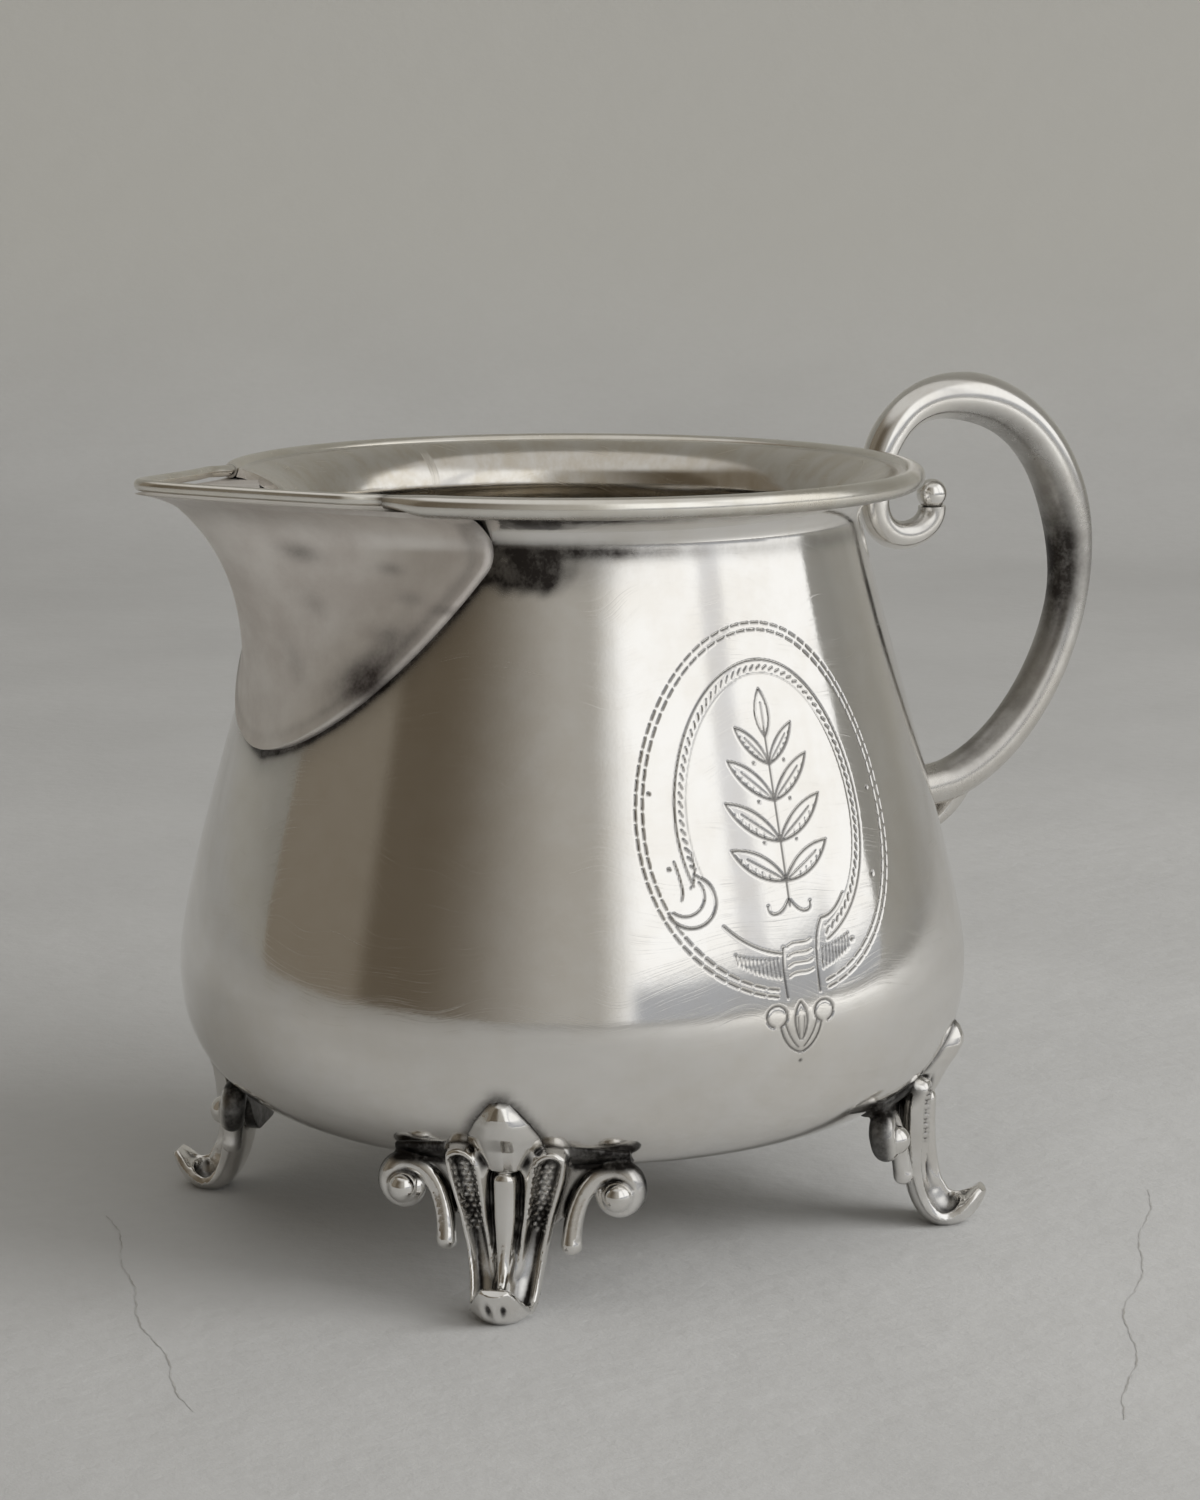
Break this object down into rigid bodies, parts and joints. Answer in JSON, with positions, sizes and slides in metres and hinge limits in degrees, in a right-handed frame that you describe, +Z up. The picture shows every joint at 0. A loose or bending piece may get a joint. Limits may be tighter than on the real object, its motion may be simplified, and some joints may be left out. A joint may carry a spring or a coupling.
{
  "type": "cream jug",
  "caption": "Pear-shaped silver cream jug with a deep V spout, wired rim, scroll handle and cast scroll feet, for pouring cream or milk at the table.",
  "frame": {"origin": "centre of the outline seen from above, on the plane the feet stand on", "axes": "+Z up, +X towards the handle, -X towards the spout, -Y towards the engraved side"},
  "size_m": [0.1182, 0.084, 0.0884],
  "materials": {
    "body_silver": "worn polish with fine circular scratches, dull and warm inside",
    "wire_silver": "bright worn wire",
    "spout_silver": "satin, with dark tarnish along the seam",
    "handle_silver": "polished, darker on the inner side",
    "foot_silver": "cast and polished, dark in the hollows"
  },
  "bodies": {
    "root": {"body": "body_silver", "rim_wire": "wire_silver", "spout": "spout_silver", "spout_lip_wire": "wire_silver", "handle": "handle_silver", "handle_bead": "handle_silver", "foot_front_spout": "foot_silver", "foot_front_handle": "foot_silver", "foot_back_handle": "foot_silver", "foot_back_spout": "foot_silver"}
  },
  "joints": []
}
